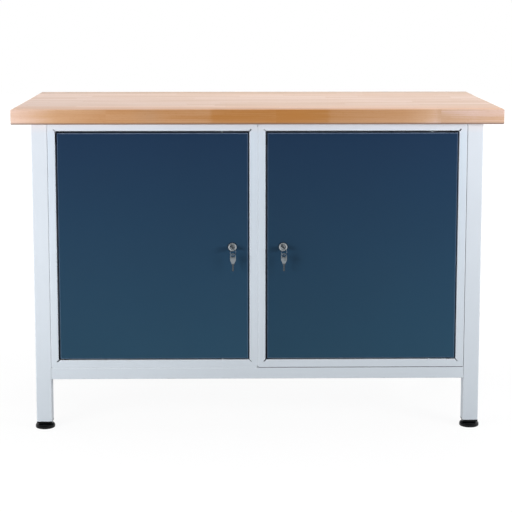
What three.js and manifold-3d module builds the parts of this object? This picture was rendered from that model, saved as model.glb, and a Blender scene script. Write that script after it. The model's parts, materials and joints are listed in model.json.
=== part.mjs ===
import * as THREE from 'three';
import { mergeVertices } from 'three/addons/utils/BufferGeometryUtils.js';
import Module from 'manifold-3d';

// Workbench with two lockable cabinets, in millimetres.
// X runs to the right, the doors face -Y, +Z is up and the origin is on the floor under the middle.

const wasm = await Module();
wasm.setup();

// Worktop
const topWidth = 1250;
const topDepth = 650;
const topThickness = 38;
const topEdge = 1.5;
const benchHeight = 840;
const sideOverhang = 47;
const frontOverhang = 35;
const rearOverhang = 35;

// Welded frame of square tube
const legSize = 40;
const legWall = 2;
const legCorner = 2;
const railSize = 30;
const railWall = 2;
const railCorner = 2;
const tubeBoreCorner = 0.5;
const railHeight = 133;

// Levelling feet
const padHeight = 15.6;
const padRadius = 25.5;
const padRimHeight = 6;
const padRimRound = 2.5;
const padBossRadius = 12;
const padSocketFloor = 4;
const plugFlange = 4.4;
const plugDepth = 22;
const plugClearance = 0.2;
const studRadius = 5;
const studLength = 50;
const studChamfer = 1;
const studClearance = 0.2;

// Sheet steel cabinets
const legClearance = 0.6;
const centreSeam = 1;
const rearInset = 5;
const panelSheet = 1.2;
const panelBend = 2;
const faceWidth = 21;
const faceReturn = 18;
const rearFlange = 15;
const backSheet = 1;
const mitreGap = 0.3;
const reliefReach = 5;
const reliefWidth = 1.8;

// Shelves on welded ledges
const shelfHeight = 470;
const shelfSheet = 1.2;
const shelfLip = 25;
const shelfHem = 10;
const shelfSetback = 40;
const shelfRearGap = 12;
const shelfSideGap = 1;
const ledgeWidth = 14;
const ledgeHeight = 20;
const ledgeSheet = 2;
const ledgeEndGap = 6;
const ledgeWeld = 0.2;

// Inset doors
const doorSideGap = 3;
const doorTopGap = 3.5;
const doorBottomGap = 3;
const doorDepth = 18;
const doorSheet = 1;
const doorBend = 2;
const doorLip = 12;
const stiffenerWidth = 40;
const stiffenerFlange = 14;
const stiffenerDepth = 12;
const stiffenerSheet = 1;
const stiffenerBend = 2;
const stiffenerEndGap = 25;

// Hinge pins
const pivotInset = 14;
const pivotDepth = 7;
const pinRadius = 3;
const pinReach = 7;
const pinCollarRadius = 5.5;
const pinTopPlay = 0.3;
const pinRunningClearance = 0.25;
const pinFitClearance = 0.05;

// Cam locks
const lockInset = 41;
const lockHeight = 482;
const rosetteRadius = 11;
const rosetteThickness = 3;
const rosetteBevel = 1;
const barrelRadius = 9;
const barrelLength = 19;
const barrelFlat = 8;
const barrelClearance = 0.15;
const lockNutAcross = 22;
const lockNutThickness = 4;
const plugRadius = 6;
const plugBoreClearance = 0.2;
const plugFace = 2.6;
const plugShoulder = 0.5;
const tenonSize = 7;
const tenonClearance = 0.1;
const tenonSetback = 0.2;
const camThickness = 2;
const camReach = 54;
const camHubRadius = 9;
const camTipRadius = 6;
const camScrewHeadRadius = 5.5;
const camScrewHead = 2.6;
const camScrewRadius = 2;
const camScrewLength = 4;
const camScrewClearance = 0.2;

// Keys on their ring
const keyThickness = 1.8;
const keyClearance = 0.15;
const bladeWidth = 5;
const bladeLength = 18;
const bladeTip = 1.5;
const biteCount = 3;
const biteDepth = 0.8;
const bitePitch = 4;
const shoulderGap = 0.4;
const neckWidth = 8;
const neckLength = 3;
const bowWidth = 15.6;
const bowLength = 26;
const bowTaper = 8;
const bowSlotLength = 6;
const bowSlotRadius = 3.2;
const bowSlotInset = 5.8;
const keyRestAngle = -45;
const ringRadius = 8.2;
const ringWire = 0.6;
const ringTurn = 30;
const ringSeat = 2.2;
const spareTurn = -18;
const spareSeatGap = 1;

// Facets and cuts
const arcSteps = 3;
const roundSteps = 24;
const wireSides = 8;
const cutMargin = 2;
const mergeTolerance = 1e-4;

// Places that follow from the sizes
const topUnder = benchHeight - topThickness;
const frameHalf = topWidth / 2 - sideOverhang;
const frameFront = frontOverhang - topDepth / 2;
const frameRear = topDepth / 2 - rearOverhang;
const legBottom = padHeight + plugFlange;
const legX = frameHalf - legSize / 2;
const legFrontY = frameFront + legSize / 2;
const legRearY = frameRear - legSize / 2;
const legInner = frameHalf - legSize;
const railTop = railHeight + railSize;
const cabinetOuter = legInner - legClearance;
const cabinetInner = centreSeam / 2;
const cabinetRear = frameRear - rearInset;
const openingOuter = cabinetOuter - faceWidth;
const openingInner = cabinetInner + faceWidth;
const openingBottom = railTop + faceWidth;
const openingTop = topUnder - faceWidth;
const doorOuter = openingOuter - doorSideGap;
const doorInner = openingInner + doorSideGap;
const doorBottom = openingBottom + doorBottomGap;
const doorTop = openingTop - doorTopGap;
const pivotX = doorOuter - pivotInset;
const pivotY = frameFront + pivotDepth;
const lockX = doorInner + lockInset;
const camFront = barrelLength + plugShoulder;
const camRear = camFront + camThickness;
const keyShoulder = plugFace + shoulderGap;
const bowEnd = neckLength + bowLength;
const bowSlot = bowEnd - bowSlotInset;

const toRadians = THREE.MathUtils.degToRad;

const beech = new THREE.MeshStandardMaterial({ color: 0xd9ae84, roughness: 0.55, metalness: 0 });
const greyPaint = new THREE.MeshStandardMaterial({ color: 0xd3dbe0, roughness: 0.45, metalness: 0 });
const bluePaint = new THREE.MeshStandardMaterial({ color: 0x2b4159, roughness: 0.45, metalness: 0 });
const blackPlastic = new THREE.MeshStandardMaterial({ color: 0x161719, roughness: 0.5, metalness: 0 });
const zincSteel = new THREE.MeshStandardMaterial({ color: 0xb4b9bd, roughness: 0.35, metalness: 1 });
const nickelBrass = new THREE.MeshStandardMaterial({ color: 0xc3c6c8, roughness: 0.22, metalness: 1 });

// Closed mesh to a solid that can be joined and cut, with its faces turned outwards
function solid(geometry) {
  const bare = new THREE.BufferGeometry();
  bare.setAttribute('position', geometry.getAttribute('position').clone());
  bare.setIndex(geometry.getIndex());
  const merged = mergeVertices(bare, mergeTolerance);
  const position = merged.getAttribute('position');
  const index = merged.getIndex().array;
  const corner = [new THREE.Vector3(), new THREE.Vector3(), new THREE.Vector3()];
  const triangles = [];
  let volume = 0;
  for (let i = 0; i < index.length; i += 3) {
    const [a, b, c] = [index[i], index[i + 1], index[i + 2]];
    if (a === b || b === c || c === a) continue;
    [a, b, c].forEach((vertex, k) => corner[k].fromBufferAttribute(position, vertex));
    volume += corner[0].dot(corner[1].cross(corner[2]));
    triangles.push(a, b, c);
  }
  if (volume < 0) triangles.reverse();
  return new wasm.Manifold(new wasm.Mesh({
    numProp: 3,
    vertProperties: new Float32Array(position.array),
    triVerts: new Uint32Array(triangles),
  }));
}

// Solid back to a mesh with flat facets
function faceted(body) {
  const mesh = body.getMesh();
  const geometry = new THREE.BufferGeometry();
  geometry.setAttribute('position', new THREE.BufferAttribute(mesh.vertProperties, 3));
  geometry.setIndex(new THREE.BufferAttribute(mesh.triVerts, 1));
  const flat = geometry.toNonIndexed();
  flat.computeVertexNormals();
  return flat;
}

// Outline pushed along one axis: (x, y) along z, (y, z) along x or (x, z) along y
function prism(outline, axis, from, to, holes = []) {
  const cut = new THREE.Shape(outline);
  cut.holes = holes.map((hole) => new THREE.Path(hole));
  const pushed = new THREE.ExtrudeGeometry(cut, {
    depth: to - from,
    bevelEnabled: false,
  });
  const place = new THREE.Matrix4();
  if (axis === 'x') {
    place.makeBasis(new THREE.Vector3(0, 1, 0), new THREE.Vector3(0, 0, 1), new THREE.Vector3(1, 0, 0));
    place.setPosition(from, 0, 0);
  } else if (axis === 'y') {
    place.makeBasis(new THREE.Vector3(1, 0, 0), new THREE.Vector3(0, 0, 1), new THREE.Vector3(0, -1, 0));
    place.setPosition(0, to, 0);
  } else {
    place.setPosition(0, 0, from);
  }
  return solid(pushed.applyMatrix4(place));
}

function block(low, high) {
  const size = new THREE.Vector3().subVectors(high, low);
  const box = new THREE.BoxGeometry(size.x, size.y, size.z);
  return solid(box.translate(low.x + size.x / 2, low.y + size.y / 2, low.z + size.z / 2));
}

// Profile of [radius, height] pairs turned round Y, or round Z when upright
function turned(profile, upright = false) {
  const points = profile.map(([radius, height]) => new THREE.Vector2(radius, height));
  const lathe = new THREE.LatheGeometry(points, roundSteps);
  if (upright) lathe.rotateX(Math.PI / 2);
  return solid(lathe);
}

function cylinder(radius, axis, from, to, at) {
  const body = turned([[0, from], [radius, from], [radius, to], [0, to]], axis === 'z');
  return body.translate(at);
}

function roundedSquare(size, corner) {
  const half = size / 2;
  const shape = new THREE.Shape();
  [[1, 1], [-1, 1], [-1, -1], [1, -1]].forEach(([sx, sy], quarter) => {
    const start = quarter * Math.PI / 2;
    shape.absarc(sx * (half - corner), sy * (half - corner), corner, start, start + Math.PI / 2);
  });
  return shape.getPoints(arcSteps);
}

function squareTube(size, wall, corner, axis, from, to) {
  const section = roundedSquare(size, corner);
  const bore = roundedSquare(size - 2 * wall, Math.max(corner - wall, tubeBoreCorner));
  return prism(section, axis, from, to, [bore]);
}

// Section of a sheet bent at right angles: the points follow one face, the sheet lies left (+1) or right (-1)
function foldedSection(points, sheet, side, bend) {
  const line = points.map(([u, v]) => new THREE.Vector2(u, v));
  const along = line.slice(1).map((point, i) => point.clone().sub(line[i]).normalize());
  const face = [];
  const back = [];
  line.forEach((point, i) => {
    const before = along[Math.max(i - 1, 0)];
    const after = along[Math.min(i, along.length - 1)];
    if (before === after) {
      const normal = new THREE.Vector2(-after.y, after.x).multiplyScalar(side * sheet);
      face.push(point.clone());
      back.push(point.clone().add(normal));
      return;
    }
    const turn = before.x * after.y - before.y * after.x;
    const inside = turn * side > 0;
    const faceRadius = inside ? bend : bend - sheet;
    const backRadius = inside ? bend - sheet : bend;
    const centre = point.clone().addScaledVector(after, faceRadius).addScaledVector(before, -faceRadius);
    for (let k = 0; k <= arcSteps; k += 1) {
      const angle = (k / arcSteps) * Math.PI / 2;
      const out = after.clone().multiplyScalar(-Math.cos(angle)).addScaledVector(before, Math.sin(angle));
      face.push(centre.clone().addScaledVector(out, faceRadius));
      back.push(centre.clone().addScaledVector(out, backRadius));
    }
  });
  return face.concat(back.reverse());
}

// Wedge that cuts the front face of a panel to a mitre, at the corner where it meets the next panel
function mitreCut(cornerX, cornerZ, inX, inZ, cutsSide) {
  const reach = faceWidth + cutMargin;
  const start = [cornerX - inX * cutMargin, cornerZ - inZ * cutMargin];
  const end = [cornerX + inX * reach, cornerZ + inZ * reach];
  const wedge = cutsSide
    ? [[start[0], start[1] + inZ * mitreGap], [end[0], end[1] + inZ * mitreGap], [end[0], start[1]]]
    : [[start[0] + inX * mitreGap, start[1]], [end[0] + inX * mitreGap, end[1]], [start[0], end[1]]];
  const outline = wedge.map(([x, z]) => new THREE.Vector2(x, z));
  return prism(outline, 'y', frameFront - cutMargin, frameFront + faceReturn + cutMargin);
}

// Slot that relieves the bends where a mitre meets the door opening, cut along the mitre
function cornerRelief(cornerX, cornerZ, outX, outZ) {
  const along = new THREE.Vector2(outX, outZ);
  const across = new THREE.Vector2(-outZ, outX).normalize().multiplyScalar(reliefWidth / 2);
  const start = new THREE.Vector2(cornerX, cornerZ).addScaledVector(along, -cutMargin);
  const end = new THREE.Vector2(cornerX, cornerZ).addScaledVector(along, reliefReach);
  const slot = [
    start.clone().add(across),
    end.clone().add(across),
    end.clone().sub(across),
    start.clone().sub(across),
  ];
  return prism(slot, 'y', frameFront - cutMargin, frameFront + panelSheet + panelBend);
}

function worktop() {
  const halfWidth = topWidth / 2 - topEdge;
  const halfDepth = topDepth / 2 - topEdge;
  const outline = new THREE.Shape();
  outline.moveTo(-halfWidth, -halfDepth);
  outline.lineTo(halfWidth, -halfDepth);
  outline.lineTo(halfWidth, halfDepth);
  outline.lineTo(-halfWidth, halfDepth);
  const board = new THREE.ExtrudeGeometry(outline, {
    depth: topThickness - 2 * topEdge,
    bevelThickness: topEdge,
    bevelSize: topEdge,
    bevelSegments: arcSteps,
  });
  return solid(board.translate(0, 0, topUnder + topEdge));
}

function legPlug() {
  const flange = prism(roundedSquare(legSize, legCorner), 'z', 0, plugFlange);
  const bore = legSize - 2 * legWall - 2 * plugClearance;
  const top = plugFlange + plugDepth;
  const insert = prism(roundedSquare(bore, legCorner), 'z', 0, top);
  const thread = cylinder(studRadius + studClearance, 'z', -cutMargin, top + cutMargin, [0, 0, 0]);
  return flange.add(insert).subtract(thread);
}

function footPad() {
  const socket = studRadius + studClearance;
  return turned([
    [0, 0],
    [padRadius - padRimRound, 0],
    [padRadius, padRimRound],
    [padRadius, padRimHeight],
    [padRadius - padRimRound, padRimHeight + padRimRound],
    [padBossRadius, padHeight - padRimRound],
    [padBossRadius, padHeight],
    [socket, padHeight],
    [socket, padSocketFloor],
    [0, padSocketFloor],
  ], true);
}

function footStud() {
  return turned([
    [0, 0],
    [studRadius - studChamfer, 0],
    [studRadius, studChamfer],
    [studRadius, studLength - studChamfer],
    [studRadius - studChamfer, studLength],
    [0, studLength],
  ], true);
}

// Side of the right cabinet: wall, rear flange, front face and its return, with the shelf ledge welded on
function sidePanel(outerX, inX) {
  const section = foldedSection([
    [outerX + inX * rearFlange, cabinetRear],
    [outerX, cabinetRear],
    [outerX, frameFront],
    [outerX + inX * faceWidth, frameFront],
    [outerX + inX * faceWidth, frameFront + faceReturn],
  ], panelSheet, inX, panelBend);
  const wallFace = outerX + inX * (panelSheet - ledgeWeld);
  const ledgeTop = shelfHeight - shelfSheet;
  const ledge = [
    [wallFace, ledgeTop],
    [wallFace + inX * ledgeWidth, ledgeTop],
    [wallFace + inX * ledgeWidth, ledgeTop - ledgeSheet],
    [wallFace + inX * ledgeSheet, ledgeTop - ledgeSheet],
    [wallFace + inX * ledgeSheet, ledgeTop - ledgeHeight],
    [wallFace, ledgeTop - ledgeHeight],
  ].map(([x, z]) => new THREE.Vector2(x, z));
  const ledgeFront = frameFront + shelfSetback + shelfHem + ledgeEndGap;
  const ledgeRear = cabinetRear - shelfRearGap - shelfHem - ledgeEndGap;
  return prism(section, 'z', railTop, topUnder)
    .subtract(mitreCut(outerX, topUnder, inX, -1, true))
    .subtract(mitreCut(outerX, railTop, inX, 1, true))
    .subtract(cornerRelief(outerX + inX * faceWidth, openingTop, -inX, 1))
    .subtract(cornerRelief(outerX + inX * faceWidth, openingBottom, -inX, -1))
    .add(prism(ledge, 'y', ledgeFront, ledgeRear));
}

// Top (inZ -1) or bottom (inZ +1) of the right cabinet, bored for the hinge pin
function endPanel(outerZ, inZ) {
  const returnZ = outerZ + inZ * faceWidth;
  const section = foldedSection([
    [cabinetRear - panelBend, outerZ],
    [frameFront, outerZ],
    [frameFront, returnZ],
    [frameFront + faceReturn, returnZ],
  ], panelSheet, -inZ, panelBend);
  const behind = frameFront + faceReturn + panelSheet;
  const low = outerZ - cutMargin;
  const high = outerZ + cutMargin;
  const outerSlot = block(
    new THREE.Vector3(cabinetOuter - panelSheet, behind, low),
    new THREE.Vector3(cabinetOuter + cutMargin, cabinetRear, high),
  );
  const innerSlot = block(
    new THREE.Vector3(cabinetInner - cutMargin, behind, low),
    new THREE.Vector3(cabinetInner + panelSheet, cabinetRear, high),
  );
  const boreRadius = pinRadius + pinRunningClearance;
  const bore = cylinder(boreRadius, 'z', -cutMargin, cutMargin, [pivotX, pivotY, returnZ]);
  return prism(section, 'x', cabinetInner, cabinetOuter)
    .subtract(mitreCut(cabinetOuter, outerZ, -1, inZ, false))
    .subtract(mitreCut(cabinetInner, outerZ, 1, inZ, false))
    .subtract(cornerRelief(openingOuter, returnZ, 1, -inZ))
    .subtract(cornerRelief(openingInner, returnZ, -1, -inZ))
    .subtract(outerSlot)
    .subtract(innerSlot)
    .subtract(bore);
}

function backPanel() {
  const rear = cabinetRear - panelSheet;
  return block(
    new THREE.Vector3(cabinetInner + panelBend, rear - backSheet, railTop + panelSheet),
    new THREE.Vector3(cabinetOuter - panelBend, rear, topUnder - panelSheet),
  );
}

function shelf() {
  const front = frameFront + shelfSetback;
  const rear = cabinetRear - shelfRearGap;
  const low = shelfHeight - shelfLip;
  const section = foldedSection([
    [front + shelfHem, low],
    [front, low],
    [front, shelfHeight],
    [rear, shelfHeight],
    [rear, low],
    [rear - shelfHem, low],
  ], shelfSheet, -1, panelBend);
  const gap = panelSheet + shelfSideGap;
  return prism(section, 'x', cabinetInner + gap, cabinetOuter - gap);
}

// Door pan: rectangles lofted from the front face round the bend, the side and the lip to the inner face
function doorPan() {
  const halfWidth = (doorOuter - doorInner) / 2;
  const halfHeight = (doorTop - doorBottom) / 2;
  const path = [];
  const bendArc = (radius, from, to) => {
    for (let k = 0; k <= arcSteps; k += 1) {
      const angle = THREE.MathUtils.lerp(from, to, k / arcSteps);
      path.push([doorBend - radius * Math.sin(angle), doorBend - radius * Math.cos(angle)]);
    }
  };
  bendArc(doorBend, 0, Math.PI / 2);
  path.push([0, doorDepth]);
  path.push([doorLip, doorDepth]);
  path.push([doorLip, doorDepth - doorSheet]);
  path.push([doorSheet, doorDepth - doorSheet]);
  bendArc(doorBend - doorSheet, Math.PI / 2, 0);
  const positions = path.flatMap(([inset, depth]) => {
    const x = halfWidth - inset;
    const z = halfHeight - inset;
    return [[-x, depth, -z], [x, depth, -z], [x, depth, z], [-x, depth, z]].flat();
  });
  const index = [0, 1, 2, 0, 2, 3];
  const last = 4 * (path.length - 1);
  index.push(last, last + 2, last + 1, last, last + 3, last + 2);
  for (let ring = 0; ring < path.length - 1; ring += 1) {
    for (let side = 0; side < 4; side += 1) {
      const a = 4 * ring + side;
      const b = 4 * ring + (side + 1) % 4;
      index.push(a, a + 4, b, b, a + 4, b + 4);
    }
  }
  const geometry = new THREE.BufferGeometry();
  geometry.setAttribute('position', new THREE.Float32BufferAttribute(positions, 3));
  geometry.setIndex(index);
  geometry.translate((doorOuter + doorInner) / 2, frameFront, (doorTop + doorBottom) / 2);
  const pinHole = pinRadius + pinFitClearance;
  const seat = barrelOutline(barrelClearance);
  return solid(geometry)
    .subtract(cylinder(pinHole, 'z', -cutMargin, cutMargin, [pivotX, pivotY, doorTop]))
    .subtract(cylinder(pinHole, 'z', -cutMargin, cutMargin, [pivotX, pivotY, doorBottom]))
    .subtract(prism(seat, 'y', -cutMargin, doorSheet + cutMargin).translate([lockX, frameFront, lockHeight]));
}

function doorStiffener() {
  const middle = (doorOuter + doorInner) / 2;
  const half = stiffenerWidth / 2;
  const seat = frameFront + doorSheet;
  const section = foldedSection([
    [middle - half - stiffenerFlange, seat],
    [middle - half, seat],
    [middle - half, seat + stiffenerDepth],
    [middle + half, seat + stiffenerDepth],
    [middle + half, seat],
    [middle + half + stiffenerFlange, seat],
  ], stiffenerSheet, 1, stiffenerBend);
  return prism(section, 'z', doorBottom + stiffenerEndGap, doorTop - stiffenerEndGap);
}

// Pin with a collar that keeps the door's gap: the collar starts at zero and the door is on the minus side
function hingePin(collar) {
  return turned([
    [0, -pinReach],
    [pinRadius, -pinReach],
    [pinRadius, 0],
    [pinCollarRadius, 0],
    [pinCollarRadius, collar],
    [pinRadius, collar],
    [pinRadius, collar + pinReach],
    [0, collar + pinReach],
  ], true);
}

// Lock barrel with its two flats, seen from the front
function barrelOutline(clearance) {
  const radius = barrelRadius + clearance;
  const flat = barrelFlat + clearance;
  const open = Math.acos(flat / radius);
  const shape = new THREE.Shape();
  shape.absarc(0, 0, radius, open, Math.PI - open);
  shape.absarc(0, 0, radius, Math.PI + open, 2 * Math.PI - open);
  return shape.getPoints(roundSteps / 4);
}

function lockHousing() {
  const bore = plugRadius + plugBoreClearance;
  const rosette = turned([
    [0, -rosetteThickness],
    [rosetteRadius - rosetteBevel, -rosetteThickness],
    [rosetteRadius, rosetteBevel - rosetteThickness],
    [rosetteRadius, 0],
    [0, 0],
  ]);
  return rosette
    .add(prism(barrelOutline(0), 'y', -rosetteThickness / 2, barrelLength))
    .subtract(cylinder(bore, 'y', -rosetteThickness - cutMargin, barrelLength + cutMargin, [0, 0, 0]));
}

function lockNut() {
  const hexagon = [];
  for (let k = 0; k < 6; k += 1) {
    const angle = k * Math.PI / 3;
    const corner = lockNutAcross / Math.sqrt(3);
    hexagon.push(new THREE.Vector2(corner * Math.cos(angle), corner * Math.sin(angle)));
  }
  const rear = doorSheet + lockNutThickness;
  const thread = cylinder(barrelRadius + barrelClearance, 'y', 0, rear + cutMargin, [0, 0, 0]);
  return prism(hexagon, 'y', doorSheet, rear).subtract(thread);
}

// Turning plug: keyway in front, square tenon and screw thread behind
function lockPlug() {
  const half = tenonSize / 2;
  const slotX = keyThickness / 2 + keyClearance;
  const slotZ = bladeWidth / 2 + keyClearance;
  const slotEnd = bladeLength + keyClearance - keyShoulder;
  const core = turned([
    [0, -plugFace],
    [plugRadius - plugShoulder, -plugFace],
    [plugRadius, plugShoulder - plugFace],
    [plugRadius, camFront],
    [0, camFront],
  ]);
  const tenon = block(
    new THREE.Vector3(-half, camFront - cutMargin, -half),
    new THREE.Vector3(half, camRear - tenonSetback, half),
  );
  const keyway = block(
    new THREE.Vector3(-slotX, -plugFace - cutMargin, -slotZ),
    new THREE.Vector3(slotX, slotEnd, slotZ),
  ).rotate([0, keyRestAngle, 0]);
  const threadEnd = camRear - camScrewLength - camScrewClearance;
  const thread = cylinder(camScrewRadius + camScrewClearance, 'y', threadEnd, camRear + cutMargin, [0, 0, 0]);
  return core.add(tenon).subtract(keyway).subtract(thread);
}

// Cam whose arm points up while unlocked
function lockCam() {
  const tip = camReach - camTipRadius;
  const lean = Math.asin((camHubRadius - camTipRadius) / tip);
  const shape = new THREE.Shape();
  shape.absarc(0, tip, camTipRadius, lean, Math.PI - lean);
  shape.absarc(0, 0, camHubRadius, Math.PI - lean, 2 * Math.PI + lean);
  const half = tenonSize / 2 + tenonClearance;
  const hole = [[-half, -half], [-half, half], [half, half], [half, -half]];
  const square = hole.map(([x, z]) => new THREE.Vector2(x, z));
  return prism(shape.getPoints(2 * arcSteps), 'y', camFront, camRear, [square]);
}

function camScrew() {
  return turned([
    [0, camRear - camScrewLength],
    [camScrewRadius, camRear - camScrewLength],
    [camScrewRadius, camRear],
    [camScrewHeadRadius, camRear],
    [camScrewHeadRadius, camRear + camScrewHead / 2],
    [camScrewHeadRadius - camScrewHead / 2, camRear + camScrewHead],
    [0, camRear + camScrewHead],
  ]);
}

// Flat key: shoulder at zero, bitted blade downwards, bow upwards with a slot for the ring
function keyBlank() {
  const edge = bladeWidth / 2;
  const side = [[edge - bladeTip, -bladeLength], [edge, bladeTip - bladeLength]];
  for (let k = biteCount; k > 0; k -= 1) {
    side.push([edge, -k * bitePitch - biteDepth]);
    side.push([edge - biteDepth, -k * bitePitch]);
    side.push([edge, biteDepth - k * bitePitch]);
  }
  side.push([edge, 0], [neckWidth / 2, 0], [neckWidth / 2, neckLength]);
  const outline = new THREE.Shape();
  outline.moveTo(-side[0][0], side[0][1]);
  side.forEach(([x, y]) => outline.lineTo(x, y));
  const shoulder = bowEnd - bowWidth / 2;
  outline.lineTo(bowWidth / 2, neckLength + bowTaper);
  outline.lineTo(bowWidth / 2, shoulder);
  outline.absarc(0, shoulder, bowWidth / 2, 0, Math.PI);
  outline.lineTo(-bowWidth / 2, neckLength + bowTaper);
  side.slice(1).reverse().forEach(([x, y]) => outline.lineTo(-x, y));
  const slot = new THREE.Path();
  const slotHalf = bowSlotLength / 2;
  slot.absarc(slotHalf, bowSlot, bowSlotRadius, -Math.PI / 2, Math.PI / 2);
  slot.absarc(-slotHalf, bowSlot, bowSlotRadius, Math.PI / 2, Math.PI * 1.5);
  const half = keyThickness / 2;
  return prism(outline.getPoints(2 * arcSteps), 'z', -half, half, [slot.getPoints(2 * arcSteps)]);
}

function keyRing() {
  const ring = new THREE.TorusGeometry(ringRadius, ringWire, wireSides, roundSteps);
  return solid(ring.rotateX(Math.PI / 2).translate(0, 0, -ringRadius));
}

const bench = new THREE.Group();

function place(parent, name, body, material, x = 0, y = 0, z = 0) {
  const mesh = new THREE.Mesh(faceted(body), material);
  mesh.name = name;
  mesh.position.set(x, y, z);
  parent.add(mesh);
  return mesh;
}

place(bench, 'worktop', worktop(), beech);

// Frame and feet
const corners = [
  ['front_left', -legX, legFrontY],
  ['front_right', legX, legFrontY],
  ['rear_left', -legX, legRearY],
  ['rear_right', legX, legRearY],
];
for (const [corner, x, y] of corners) {
  const tube = squareTube(legSize, legWall, legCorner, 'z', legBottom, topUnder);
  place(bench, `leg_${corner}`, tube, greyPaint, x, y);
  place(bench, `leg_plug_${corner}`, legPlug(), blackPlastic, x, y, padHeight);
  place(bench, `foot_pad_${corner}`, footPad(), blackPlastic, x, y);
  place(bench, `foot_stud_${corner}`, footStud(), zincSteel, x, y, padSocketFloor);
}

const lowRailZ = railHeight + railSize / 2;
const highRailZ = topUnder - railSize / 2;
for (const [side, x] of [['left', -legX], ['right', legX]]) {
  const rail = squareTube(railSize, railWall, railCorner, 'y', frameFront + legSize, frameRear - legSize);
  place(bench, `side_rail_lower_${side}`, rail, greyPaint, x, 0, lowRailZ);
  place(bench, `side_rail_upper_${side}`, rail, greyPaint, x, 0, highRailZ);
}
const longRail = squareTube(railSize, railWall, railCorner, 'x', -legInner, legInner);
place(bench, 'front_rail', longRail, greyPaint, 0, frameFront + railSize / 2, lowRailZ);
place(bench, 'rear_rail', longRail, greyPaint, 0, frameRear - rearInset - railSize / 2, lowRailZ);

// Cabinets and doors: modelled on the right and mirrored to the left
const cabinetPieces = [
  ['cabinet_outer_side', sidePanel(cabinetOuter, -1), greyPaint],
  ['cabinet_inner_side', sidePanel(cabinetInner, 1), greyPaint],
  ['cabinet_top', endPanel(topUnder, -1), greyPaint],
  ['cabinet_bottom', endPanel(railTop, 1), greyPaint],
  ['cabinet_back', backPanel(), greyPaint],
  ['shelf', shelf(), greyPaint],
  ['door_pan', doorPan(), bluePaint],
  ['door_stiffener', doorStiffener(), bluePaint],
];
for (const [side, mirrored] of [['left', true], ['right', false]]) {
  for (const [name, body, material] of cabinetPieces) {
    place(bench, `${name}_${side}`, mirrored ? body.mirror([1, 0, 0]) : body, material);
  }
  const x = mirrored ? -pivotX : pivotX;
  const upper = hingePin(doorTopGap - pinTopPlay);
  const lower = hingePin(doorBottomGap).mirror([0, 0, 1]);
  place(bench, `hinge_pin_upper_${side}`, upper, zincSteel, x, pivotY, doorTop);
  place(bench, `hinge_pin_lower_${side}`, lower, zincSteel, x, pivotY, doorBottom);
}

// Locks with their keys: both turn clockwise, so the right cam starts downwards to swing to the middle
const keyBasis = new THREE.Matrix4().makeBasis(
  new THREE.Vector3(0, 0, 1),
  new THREE.Vector3(0, -1, 0),
  new THREE.Vector3(1, 0, 0),
);
const spareBasis = new THREE.Matrix4().makeBasis(
  new THREE.Vector3(1, 0, 0),
  new THREE.Vector3(0, 0, 1),
  new THREE.Vector3(0, -1, 0),
);
for (const [side, x, cam] of [['left', -lockX, lockCam()], ['right', lockX, lockCam().mirror([0, 0, 1])]]) {
  const lock = new THREE.Group();
  lock.position.set(x, frameFront, lockHeight);
  bench.add(lock);
  place(lock, `lock_housing_${side}`, lockHousing(), nickelBrass);
  place(lock, `lock_nut_${side}`, lockNut(), zincSteel);
  place(lock, `lock_plug_${side}`, lockPlug(), nickelBrass);
  place(lock, `lock_cam_${side}`, cam, zincSteel);
  place(lock, `lock_cam_screw_${side}`, camScrew(), zincSteel);

  const key = place(lock, `key_${side}`, keyBlank(), nickelBrass, 0, -keyShoulder, 0);
  key.geometry.applyMatrix4(keyBasis);
  key.rotation.y = toRadians(keyRestAngle);

  // The ring hangs in the lower end of the key's slot and carries the spare key
  const seat = new THREE.Vector3(0, -keyShoulder - bowSlot, -ringSeat);
  seat.applyAxisAngle(new THREE.Vector3(0, 1, 0), toRadians(keyRestAngle));
  const ring = place(lock, `key_ring_${side}`, keyRing(), zincSteel, ...seat.toArray());
  ring.rotation.z = toRadians(ringTurn);
  const spare = place(lock, `spare_key_${side}`, keyBlank(), nickelBrass, ...seat.toArray());
  spare.geometry.translate(0, -bowSlot, 0);
  spare.geometry.applyMatrix4(spareBasis);
  spare.rotation.z = toRadians(spareTurn);
  spare.position.z -= 2 * ringRadius + bowSlotRadius - ringWire - spareSeatGap;
}

export default bench;
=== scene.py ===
import json
import math

import bmesh
import bpy
from mathutils import Matrix, Vector


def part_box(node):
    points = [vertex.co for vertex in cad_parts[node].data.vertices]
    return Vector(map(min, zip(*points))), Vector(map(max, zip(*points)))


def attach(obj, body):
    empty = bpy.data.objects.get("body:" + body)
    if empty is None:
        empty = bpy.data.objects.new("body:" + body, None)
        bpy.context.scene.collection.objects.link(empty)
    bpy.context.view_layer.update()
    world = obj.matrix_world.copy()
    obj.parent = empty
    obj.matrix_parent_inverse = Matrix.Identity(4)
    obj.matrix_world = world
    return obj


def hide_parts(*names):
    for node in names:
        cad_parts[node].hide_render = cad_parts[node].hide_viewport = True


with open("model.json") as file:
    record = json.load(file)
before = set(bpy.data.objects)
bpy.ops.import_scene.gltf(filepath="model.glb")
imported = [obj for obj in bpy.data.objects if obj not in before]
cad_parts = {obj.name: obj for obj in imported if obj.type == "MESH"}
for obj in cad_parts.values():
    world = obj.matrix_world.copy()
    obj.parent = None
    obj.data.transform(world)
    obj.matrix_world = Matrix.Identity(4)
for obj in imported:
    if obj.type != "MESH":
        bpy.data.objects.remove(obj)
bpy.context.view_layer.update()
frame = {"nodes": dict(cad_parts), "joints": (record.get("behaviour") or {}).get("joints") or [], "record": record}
nodes = frame["nodes"]
jointAt = {joint["name"]: Vector(joint.get("pos_m") or (0, 0, 0)) for joint in frame["joints"]}
sides = ("left", "right")
corners = ("front_left", "front_right", "rear_left", "rear_right")

scene = bpy.context.scene
scene.view_settings.view_transform = "Standard"
print("frame loaded:", len(nodes), "nodes")


def addObject(name, data):
    made = bpy.data.objects.new(name, data)
    scene.collection.objects.link(made)
    return made


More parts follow.
